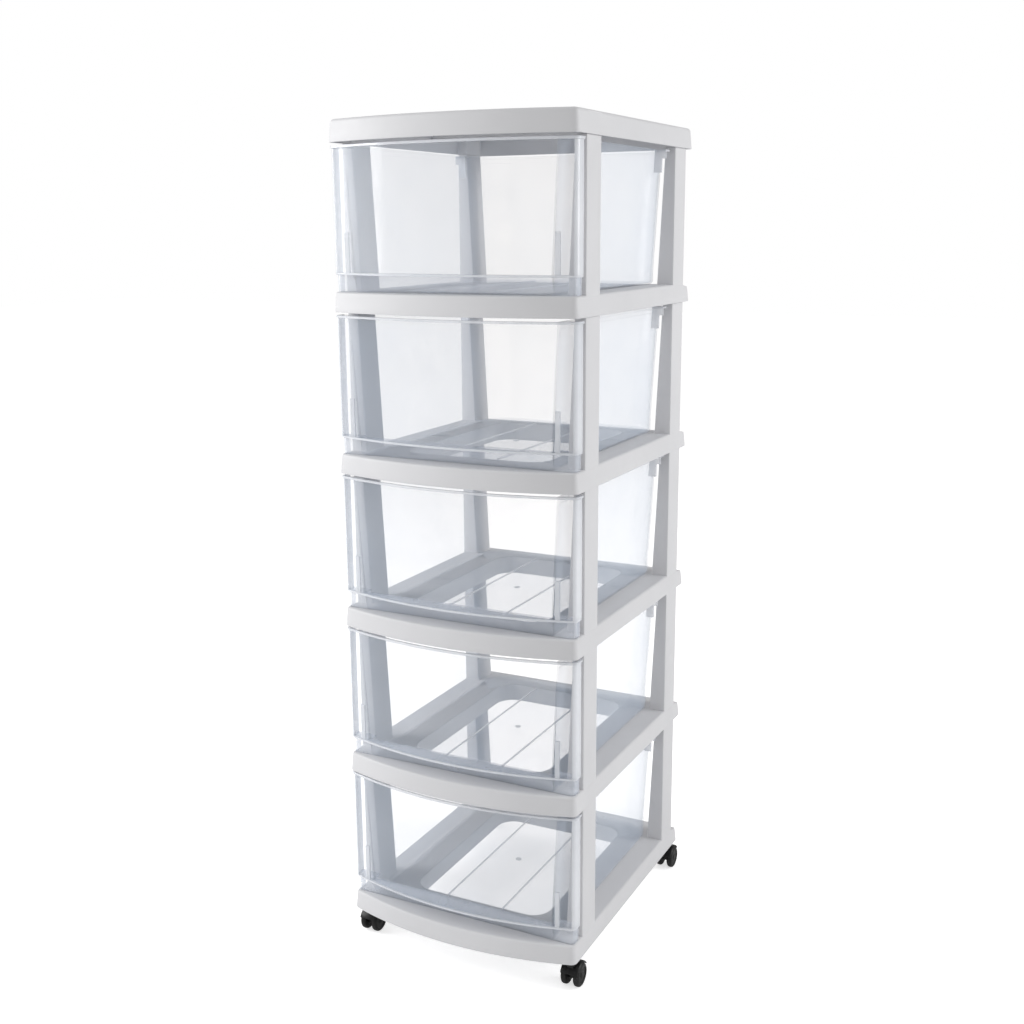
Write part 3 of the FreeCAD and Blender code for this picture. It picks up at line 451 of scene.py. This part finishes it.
FRAME_PLASTIC = moulded_plastic("pale_grey_plastic", (0.63, 0.63, 0.645), (0.665, 0.665, 0.68),
                                rough=(0.40, 0.54), grain=0.2, sheen=0.3)
CLEAR_WALL = clear_plastic("clear_wall", (0.68, 0.80, 0.97), (0.76, 0.86, 1.0),
                           share=(0.045, 0.56), milk=0.02)
CLEAR_FOOT = clear_plastic("clear_foot", (0.76, 0.83, 0.94), (0.82, 0.88, 0.98),
                           share=(0.20, 0.60), milk=0.08)
CLEAR_EDGE = clear_plastic("clear_edge", (0.84, 0.87, 0.92), (0.90, 0.92, 0.96),
                           share=(0.50, 0.80), milk=0.10)
HOOD_PLASTIC = moulded_plastic("black_hood_plastic", (0.003, 0.003, 0.0035), (0.006, 0.006, 0.0065),
                               rough=(0.34, 0.46), grain=0.2, sheen=0.35)
WHEEL_PLASTIC = moulded_plastic("black_wheel_plastic", (0.0025, 0.0025, 0.0025),
                                (0.006, 0.006, 0.006), rough=(0.42, 0.58), grain=0.3, sheen=0.35)
STEEL = plated_steel("plated_steel")


# Tier frames


def slope_top(points, below=0.0):
    """Lower the heights behind the rear posts to the plane that falls to the rear lip, or to a plane
    a distance below it."""
    fall = (points[:, 1] - SLOPE_START) * SLOPE_DROP / (REAR - FLARE - SLOPE_START)
    points[:, 2] = np.minimum(points[:, 2], PLATE - below - np.maximum(fall, 0))
    return points


def ring_plate():
    """Plate as one ring-shaped skin: up the drafted skirt, round its upper edge, across the deck to
    the opening, down its wall and back along the underside."""
    loops = [slope_top(raised(plate_plan(inset), z))
             for inset, z in rounded_top(PLATE, PLATE_EDGE, PLATE_EDGE_STEPS)]
    rim = [(-3.0, PLATE), (-1.2, PLATE), (-0.6, PLATE - 0.16), (-0.16, PLATE - 0.6),
           (0, PLATE - 1.2), (0, 0.4), (-0.4, 0), (0.4 - OPENING_WALL, 0), (-OPENING_WALL, 0.4)]
    loops += [raised(opening_plan(inset), z) for inset, z in rim]
    ceiling = PLATE - DECK
    loops.append(raised(opening_plan(-OPENING_WALL), ceiling))
    loops.append(slope_top(raised(plate_plan(SKIRT + FLARE * ceiling / PLATE), ceiling), DECK))
    loops += [raised(plate_plan(inset), z) for inset, z in SKIRT_FOOT]
    return skin(loops, ring=True)


def post(front):
    """Right-hand post: rounded sections whose inner face leans outward as they rise, from the hollow
    inside down, out at the foot, up to the shoulder and on up the tenon."""
    def section(z, inset, radius):
        """Rounded section at a height, moved inward by an inset."""
        width = FOOT + (TOP - FOOT) * min(z, PITCH) / PITCH
        return raised(block_plan(DECK_HALF - width + inset, DECK_HALF - inset, front + inset,
                                 front + POST_DEPTH - inset, radius), z)
    shoulder = POST_WALL + TENON_GAP
    loops = [section(z, POST_WALL, POST_INNER_EDGE) for z in (PITCH - POST_WALL, 0)]
    loops += [section(z, 0, POST_EDGE) for z in np.linspace(0, PITCH - SHOULDER_INSET, POST_STEPS)]
    loops += [section(PITCH, SHOULDER_INSET, SHOULDER_EDGE),
              section(PITCH, shoulder, TENON_EDGE),
              section(PITCH + TENON - TENON_TAPER, shoulder, TENON_EDGE),
              section(PITCH + TENON, shoulder + TENON_TAPER, TENON_EDGE)]
    return skin(loops)


def bow_at(x, middle=FRONT, radius=BOW_RADIUS):
    """Y of a bowed face at a given X: its middle plus radius less the root of radius² - x²."""
    return middle + radius - math.sqrt(radius**2 - x**2)


def plate_ribs():
    """Thin ribs under the right half of a plate, and the stop walls in the feet of its posts."""
    ceiling, t = PLATE - DECK + BURIED, RIB / 2
    middle = (POST_FRONTS[0] + POST_FRONTS[1] + POST_DEPTH) / 2
    ribs = [bar(OPENING_HALF + BURIED, DECK_HALF, middle + s - t, middle + s + t, RIB_GAP, ceiling)
            for s in (-SIDE_RIBS, 0, SIDE_RIBS)]
    ends = ((bow_at(END_RIB) + FLARE, OPENING_FRONT - BURIED, ceiling),
            (OPENING_REAR + BURIED, SLOPE_START - DECK, ceiling),
            (SLOPE_START - 2 * DECK, REAR - FLARE, ceiling - SLOPE_DROP))
    ribs += [bar(END_RIB - t, END_RIB + t, start, end, RIB_GAP, top) for start, end, top in ends]
    stop = DECK_HALF - TOP + POST_WALL
    ribs += [bar(stop - POST_WALL, stop, y + BURIED, y + POST_DEPTH - BURIED, 0, TENON)
             for y in POST_FRONTS]
    return joined(*ribs)


def caster_bosses():
    """Bored bosses of the base, each turned about its stem: the blind bore, the rim and the wall."""
    profile = [(BORE_END, POLE), (BORE_END, BORE), (BOSS_FOOT + 0.5, BORE), (BOSS_FOOT, BORE + 0.5),
               (BOSS_FOOT, BOSS - 0.4), (BOSS_FOOT + 0.4, BOSS), (BOSS_END, BOSS), (BOSS_END, POLE)]
    one = upright(spun(profile, TURNED_STEPS))
    return joined(*[moved(one, x, y) for x, y in STEMS.values()])


def top_cover():
    """Closed lid: down inside the skirt from the ceiling, round its lower edge, up the drafted
    outside and round a wider radius to the flat top."""
    ceiling = COVER - DECK
    inside = [(SKIRT + FLARE * ceiling / COVER, ceiling), *SKIRT_FOOT]
    outside = rounded_top(COVER, COVER_EDGE, COVER_EDGE_STEPS)
    shell = skin([raised(plate_plan(inset), z) for inset, z in inside + outside])

    def collar(front):
        """Collar on the right that takes a tenon."""
        def section(z, inset):
            """Section at a height, moved inward by an inset."""
            return raised(block_plan(DECK_HALF - TOP + inset, DECK_HALF - inset, front + inset,
                                     front + POST_DEPTH - inset, COLLAR_EDGE), z)
        return skin([section(TENON + TENON_GAP, POST_WALL), section(0, POST_WALL), section(0, 0),
                     section(ceiling + BURIED, 0)])
    side = DECK_HALF - SKIRT
    ribs = [bar(-side, side, y - RIB / 2, y + RIB / 2, ceiling - COVER_RIB_DEPTH, ceiling + BURIED)
            for y in (-COVER_RIBS, COVER_RIBS)]
    return joined(shell, both_sides(joined(*[collar(y) for y in POST_FRONTS])), *ribs)


FRAME_SHAPE = joined(ring_plate(), both_sides(joined(*[post(y) for y in POST_FRONTS], plate_ribs())))


# Drawers


def lean_share(z):
    """How far a level is up the drafted part of the tub, from 0 at the ledge to 1 at the rim."""
    return max(z - LEDGE, 0) / (DRAWER - LEDGE)


def tub_line(level, inset, front, z=None):
    """Open U seen from above: along the right side from the front, round the rear and back along the
    left side. The level sets its width and rear, the inset moves it inward, and z is its height where
    that isn't the level."""
    share = lean_share(level)
    half = TUB_HALF + (TUB_TOP_HALF - TUB_HALF) * share - inset
    back, r = TUB_REAR + TUB_LEAN * share - inset, TUB_ROUND - inset
    c = half - r
    outline = np.concatenate([
        run((half, front), (half, back - r), TUB_SIDE_STEPS),
        turn(c, back - r, r, 0, QUARTER, TUB_CORNER_STEPS),
        run((c, back), (-c, back), TUB_REAR_STEPS),
        turn(-c, back - r, r, QUARTER, math.pi, TUB_CORNER_STEPS),
        run((-half, back - r), (-half, front), TUB_SIDE_STEPS), [[-half, front]]])
    return raised(outline, level if z is None else z)


def tub():
    """Floor, sides and rear with a stepped rim: U-shaped rows go up the outside, over the rim and
    down the inside. The floor's two faces and the front ends close it."""
    front = STRIP_FRONT + TUB_WALL
    quarter = np.linspace(0, QUARTER, TUB_FOOT_STEPS)
    inner = TUB_FOOT - TUB_WALL
    below_ledge, levels_above = LEDGE - 0.5, (LEDGE + PANEL_WALL, 60, 100, 140)
    rows = [tub_line(0, TUB_FOOT - TUB_FOOT * math.sin(a), front, TUB_FOOT - TUB_FOOT * math.cos(a))
            for a in quarter]
    rows += [tub_line(z, 0, front) for z in (12, below_ledge)]
    rows += [tub_line(z, 0, SIDE_FRONT) for z in levels_above]
    rim_top, step_top = DRAWER - RIM_WALL, DRAWER - RIM_STEP_HEIGHT
    rim = [(0, step_top), (RIM_STEP - 0.4, step_top), (RIM_STEP, step_top + 0.4),
           (RIM_STEP, rim_top - 0.4), (RIM_STEP + 0.3, rim_top), (RIM_REACH - 0.3, rim_top),
           (RIM_REACH, rim_top + 0.3), (RIM_REACH, DRAWER - 0.6), (RIM_REACH - 0.6, DRAWER),
           (0.5 - TUB_WALL, DRAWER), (-TUB_WALL, DRAWER - 0.5)]
    rows += [tub_line(DRAWER, -out, SIDE_FRONT, z) for out, z in rim]
    rows += [tub_line(z, TUB_WALL, SIDE_FRONT) for z in levels_above[::-1]]
    rows.append(tub_line(below_ledge, TUB_WALL, front))
    rows += [tub_line(0, TUB_FOOT - inner * math.cos(a), front, TUB_FOOT - inner * math.sin(a))
             for a in quarter]
    grid = np.asarray(rows)
    levels, count = grid.shape[:2]
    i, j = np.arange(levels - 1)[:, None], np.arange(count - 1)[None, :]
    quads = np.stack([i * count + j, i * count + j + 1, (i + 1) * count + j + 1,
                      (i + 1) * count + j], -1).reshape(-1, 4).tolist()
    first, last = list(range(count)), list(range((levels - 1) * count, levels * count))
    right_end = [k * count for k in range(levels)]
    quads += [first[::-1], last, right_end, [k + count - 1 for k in right_end][::-1],
              [first[-1], last[-1], last[0], first[0]]]
    return grid.reshape(-1, 3), quads


def stop_lugs():
    """Stepped fin and flange under the rear end of each side rim."""
    low, step = DRAWER - STOP_STEP_HEIGHT, DRAWER - STOP_HEIGHT
    foot = TUB_HALF + (TUB_TOP_HALF - TUB_HALF) * lean_share(low) - BURIED
    x = np.array([foot, TUB_TOP_HALF + STOP_STEP, TUB_TOP_HALF + STOP_STEP,
                  TUB_TOP_HALF + STOP_REACH, TUB_TOP_HALF + STOP_REACH, TUB_TOP_HALF - BURIED])
    z = np.array([low, low, step, step, DRAWER, DRAWER])
    start = STOP_REAR - STOP_LENGTH
    fin = skin([np.column_stack([x, np.full(len(x), y), z]) for y in (start, start + RIM_WALL)])
    flange = bar(TUB_TOP_HALF - BURIED, TUB_TOP_HALF + STOP_REACH, start + RIM_WALL, STOP_REAR,
                 DRAWER - RIM_WALL, DRAWER)
    return both_sides(joined(fin, flange))


def front_line(inset):
    """Open line seen from above along the bowed front: up the left return, round the corner, along
    the bow, round the other corner and down the right return."""
    half, corner = PANEL_HALF - inset, PANEL_ROUND - inset
    radius = PANEL_RADIUS - inset
    x, y, centre, tilt = front_arc(half, PANEL_MIDDLE + inset, radius, corner)
    return np.concatenate([
        run((-half, PANEL_BACK), (-half, y), RETURN_STEPS),
        turn(-x, y, corner, math.pi, math.pi - tilt, PANEL_CORNER_STEPS),
        turn(0, centre, radius, -math.pi - tilt, tilt, PANEL_STEPS),
        turn(x, y, corner, tilt, 0, PANEL_CORNER_STEPS),
        run((half, y), (half, PANEL_BACK), RETURN_STEPS), [[half, PANEL_BACK]]])


def panel():
    """Bowed panel between its two ends."""
    profile = [(0, PANEL_FOOT), (PANEL_WALL, PANEL_FOOT), (PANEL_WALL, DRAWER - LIP),
               (0, DRAWER - LIP), (0, 130), (0, 90), (0, 50)]
    return swept(lambda inset: front_line(inset)[RETURN_POINTS:-RETURN_POINTS], profile)


def panel_edges():
    """Edges of the panel: the bead along its foot, the lip that stands proud along its top and the
    rounded ends with their returns."""
    lip = DRAWER - LIP
    foot = [(0, LEDGE + 0.8), (0.25, LEDGE + 0.2), (0.8, LEDGE), (PANEL_WALL, LEDGE),
            (PANEL_WALL, PANEL_FOOT), (0, PANEL_FOOT)]
    top = [(PANEL_WALL, lip), (PANEL_WALL, DRAWER - 0.6), (PANEL_WALL - 0.6, DRAWER),
           (0.5 - LIP_REACH, DRAWER), (-LIP_REACH, DRAWER - 0.5), (-LIP_REACH, lip + 0.6),
           (0.4 - LIP_REACH, lip + 0.1), (-0.3, lip)]
    end = [(0, PANEL_FOOT), (PANEL_WALL, PANEL_FOOT), (PANEL_WALL, lip), (0, lip)]
    left = swept(lambda inset: front_line(inset)[:RETURN_POINTS + 1], end)
    right = swept(lambda inset: front_line(inset)[-RETURN_POINTS - 1:], end)
    return joined(swept(front_line, foot), swept(front_line, top), left, right)


def strip_line(inset):
    """Open line seen from above along the straight lower strip and its two rounded ends."""
    half, front, r = STRIP_HALF - inset, STRIP_FRONT + inset, PANEL_ROUND - inset
    x, y = half - r, front + r
    return np.concatenate([
        run((-half, PANEL_BACK), (-half, y), STRIP_RETURN_STEPS),
        turn(-x, y, r, math.pi, 3 * QUARTER, PANEL_CORNER_STEPS),
        run((-x, front), (x, front), STRIP_STEPS),
        turn(x, y, r, -QUARTER, 0, PANEL_CORNER_STEPS),
        run((half, y), (half, PANEL_BACK), STRIP_RETURN_STEPS), [[half, PANEL_BACK]]])


def strip():
    """Straight lower strip, rounded along its lower edge."""
    return swept(strip_line, [(0, 0.8), (0.25, 0.25), (0.8, 0), (PANEL_WALL, 0),
                              (PANEL_WALL, LEDGE), (0, LEDGE), (0, LEDGE / 2)])


def bow_inside(x):
    """Y inside the bowed panel's wall at a given X."""
    return bow_at(x, PANEL_MIDDLE, PANEL_RADIUS) + BURIED


def wing_outline(inner):
    """Outline from the tub's side at a half width out to the panel's end, inside its wall."""
    line = front_line(BURIED)
    return np.concatenate([[[inner, bow_inside(inner)]], line[line[:, 0] > inner + 1],
                           [[inner, PANEL_BACK]]])


def ledge():
    """Lens-shaped ledge between the bowed panel and the straight strip, widened at the ends."""
    end = math.asin(TUB_HALF / (PANEL_RADIUS - BURIED))
    front = turn(0, PANEL_MIDDLE + PANEL_RADIUS, PANEL_RADIUS - BURIED, -QUARTER - end,
                 end - QUARTER, LEDGE_STEPS)
    back = STRIP_FRONT + PANEL_WALL
    middle = np.concatenate([front, [[TUB_HALF, bow_inside(TUB_HALF)], [TUB_HALF, back],
                                     [-TUB_HALF, back]]])
    return joined(slab(middle, LEDGE, LEDGE + PANEL_WALL),
                  both_sides(slab(wing_outline(TUB_HALF), LEDGE, LEDGE + PANEL_WALL)))


def drawer_marks():
    """Two low ribs along the floor, a rib behind each end of the front and a round gate mark."""
    ribs = bar(FLOOR_RIBS - FLOOR_RIB_HALF, FLOOR_RIBS + FLOOR_RIB_HALF,
               STRIP_FRONT + FLOOR_RIB_MARGIN, TUB_REAR - FLOOR_RIB_MARGIN, 1, FLOOR_RIB_TOP)
    y = bow_inside(WING_RIB)
    wing_rib = bar(WING_RIB - WING_RIB_HALF, WING_RIB + WING_RIB_HALF, y,
                   y + PANEL_WALL + WING_RIB_DEPTH - BURIED, LEDGE + BURIED, WING_RIB_TOP)
    top = GATE_HEIGHT
    gate = upright(spun([(1.5, POLE), (1.5, top), (2.2, top), (GATE_RADIUS, top - 0.6),
                         (GATE_RADIUS - 0.2, 2.2), (GATE_RADIUS - 0.2, POLE)], GATE_STEPS))
    return joined(both_sides(joined(ribs, wing_rib)), moved(gate, 0, GATE_Y))


DRAWER_WALLS = joined(tub(), panel(),
                      both_sides(slab(wing_outline(WING_START), DRAWER - LIP, DRAWER)))
DRAWER_FOOT = joined(strip(), ledge())
DRAWER_EDGES = joined(panel_edges(), stop_lugs(), drawer_marks())


# Casters, about the stem's foot on the floor


def wheel(side):
    """Wheel turned about the axle: rounded tread, dished outer face, raised ring and hub."""
    profile = [(WHEEL_INNER, AXLE + 0.3), (WHEEL_INNER, 11.6), (4.6, 13.2), (5.6, 14.5), (7.0, WHEEL),
               (9.6, WHEEL), (11.0, 14.5), (11.9, 13.4), (12.3, 12.0), (WHEEL_OUTER, 10.8),
               (12.1, 10.3), (11.4, 9.8), (11.3, 9.0), (11.3, 5.4), (11.5, 4.8), (12.1, 4.2),
               (WHEEL_OUTER, 3.6), (WHEEL_OUTER, POLE)]
    shape = moved(spun(profile, WHEEL_STEPS), 0, TRAIL, WHEEL)
    return mirrored(shape) if side < 0 else shape


def fender():
    """Curved guard over both wheels: a crowned cross-section carried along an arc about the axle,
    each point (x, r) of it going to (x, r cos a, r sin a)."""
    inner = WHEEL + FENDER_GAP
    outer = inner + FENDER_WALL
    half = FENDER_HALF
    section = np.array([(half - 0.4, inner), (half, inner + 0.4), (half, outer - 1.2),
                        (half - 0.5, outer - 0.5), (half - 1.4, outer)])
    section = np.concatenate([section, section[::-1] * (-1, 1)])
    a = np.radians(np.linspace(FENDER_START, FENDER_END, FENDER_STEPS))[:, None]
    x, r = section[:, 0], section[:, 1]
    return skin(np.stack([np.broadcast_to(x, (FENDER_STEPS, len(x))), TRAIL + r * np.cos(a),
                          WHEEL + r * np.sin(a)], -1))


def hood():
    """Fender, central web with its hub, and the neck that holds the stem."""
    reach = WHEEL + FENDER_GAP + FENDER_WALL / 2
    outline = np.array([[TRAIL - HUB, WHEEL], [TRAIL + HUB, WHEEL],
                        [TRAIL + HUB, WHEEL + reach * 0.75], [TRAIL, WHEEL + reach],
                        [-NECK / 2, HOOD_TOP - 9], [TRAIL - reach * 0.75, WHEEL + reach / 2]])
    web = skin([np.column_stack([np.full(len(outline), x), outline]) for x in (-WEB_HALF, WEB_HALF)])
    hub = spun([(-WEB_HALF, AXLE), (-WEB_HALF, HUB), (WEB_HALF, HUB), (WEB_HALF, AXLE)],
               TURNED_STEPS)
    top = HOOD_TOP - SWIVEL_GAP
    neck = upright(spun([(NECK_FOOT, POLE), (NECK_FOOT, NECK - 0.4), (NECK_FOOT + 0.6, NECK),
                         (top - 0.8, NECK), (top, NECK - 0.6), (top, STEM), (STEM_FOOT, STEM),
                         (STEM_FOOT, POLE)], TURNED_STEPS))
    return joined(fender(), web, moved(hub, 0, TRAIL, WHEEL), neck)


# Pieces in their places

for tier in range(1, TIERS + 1):
    z = LIFT + (TIERS - tier) * PITCH
    node = "base_frame" if tier == TIERS else f"tier_frame_{tier}"
    shape = joined(FRAME_SHAPE, caster_bosses()) if tier == TIERS else FRAME_SHAPE
    piece(f"{node}_moulding", [moved(shape, z=z)], "frame", [FRAME_PLASTIC], node)
    drawer = [moved(part, z=z + PLATE) for part in (DRAWER_WALLS, DRAWER_FOOT, DRAWER_EDGES)]
    piece(f"drawer_{tier}_moulding", drawer, f"drawer_{tier}", [CLEAR_WALL, CLEAR_FOOT, CLEAR_EDGE],
          f"drawer_{tier}")
piece("top_cover_moulding", [moved(top_cover(), z=LIFT + TIERS * PITCH)], "frame", [FRAME_PLASTIC],
      "top_cover")
for corner, (x, y) in STEMS.items():
    piece(f"hood_{corner}", [moved(hood(), x, y)], f"caster_{corner}", [HOOD_PLASTIC],
          f"caster_hood_{corner}")
    for side, sign in (("left", -1), ("right", 1)):
        piece(f"wheel_{side}_{corner}", [moved(wheel(sign), x, y)], f"wheel_{side}_{corner}",
              [WHEEL_PLASTIC], f"caster_wheel_{side}_{corner}")
    for part in ("stem", "axle"):
        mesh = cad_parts[f"caster_{part}_{corner}"].data
        mesh.materials.clear()
        mesh.materials.append(STEEL)


# Floor, light and camera, in metres


def studio_floor(reach):
    """Square floor that reaches as far as given from the middle to each side."""
    mesh = bpy.data.meshes.new("floor")
    corners = [(-reach, -reach, 0), (reach, -reach, 0), (reach, reach, 0), (-reach, reach, 0)]
    mesh.from_pydata(corners, [], [(0, 1, 2, 3)])
    mesh.materials.append(pale_floor("pale_floor"))
    floor = bpy.data.objects.new("floor", mesh)
    bpy.context.scene.collection.objects.link(floor)


def studio_world(lit, seen):
    """Even surroundings: one strength lights the object, a brighter one is the white backdrop."""
    world = bpy.data.worlds.new("studio")
    bpy.context.scene.world = world
    world.use_nodes = True
    nodes, links = world.node_tree.nodes, world.node_tree.links
    nodes["Background"].inputs["Color"].default_value = (1, 1, 1, 1)
    path = nodes.new("ShaderNodeLightPath")
    links.new(between(nodes, links, path.outputs["Is Camera Ray"], lit, seen, 0.0, 1.0),
              nodes["Background"].inputs["Strength"])


def soft_box(name, side, power):
    """Large rectangular lamp at an azimuth from the front, in degrees to the right, which faces the
    middle of the tower."""
    a = math.radians(side)
    lamp = bpy.data.lights.new(name, "AREA")
    lamp.shape = "RECTANGLE"
    lamp.size, lamp.size_y, lamp.energy = LAMP_WIDTH, LAMP_TALL, power
    holder = bpy.data.objects.new(name, lamp)
    place = Vector((LAMP_DISTANCE * math.sin(a), -LAMP_DISTANCE * math.cos(a), LAMP_HEIGHT))
    holder.location = place
    holder.rotation_euler = (Vector(LAMP_TARGET) - place).to_track_quat("-Z", "Y").to_euler()
    bpy.context.scene.collection.objects.link(holder)


def photo_camera():
    """Camera at the photograph's viewing angle: it looks along yaw and pitch, then rolls."""
    data = bpy.data.cameras.new("camera")
    data.sensor_width = SENSOR
    data.lens = FOCAL_PIXELS / FRAME_PIXELS * SENSOR
    ahead = np.array([math.sin(CAMERA_YAW) * math.cos(CAMERA_PITCH),
                      math.cos(CAMERA_YAW) * math.cos(CAMERA_PITCH), -math.sin(CAMERA_PITCH)])
    right = np.array([math.cos(CAMERA_YAW), -math.sin(CAMERA_YAW), 0])
    down = np.cross(ahead, right)
    across = math.cos(CAMERA_ROLL) * right + math.sin(CAMERA_ROLL) * down
    below = math.cos(CAMERA_ROLL) * down - math.sin(CAMERA_ROLL) * right
    camera = bpy.data.objects.new("camera", data)
    axes = np.stack([across, -below, -ahead], 1).tolist()
    camera.matrix_world = Matrix([[*row, place] for row, place in zip(axes, CAMERA_PLACE)]
                                 + [[0, 0, 0, 1]])
    bpy.context.scene.collection.objects.link(camera)
    return camera


studio_floor(FLOOR_REACH)
studio_world(WORLD_LIT, WORLD_SEEN)
soft_box("left_box", LEFT_SIDE, LEFT_POWER)
soft_box("right_box", RIGHT_SIDE, RIGHT_POWER)
bpy.context.scene.camera = photo_camera()
bpy.context.scene.view_settings.view_transform = "Standard"
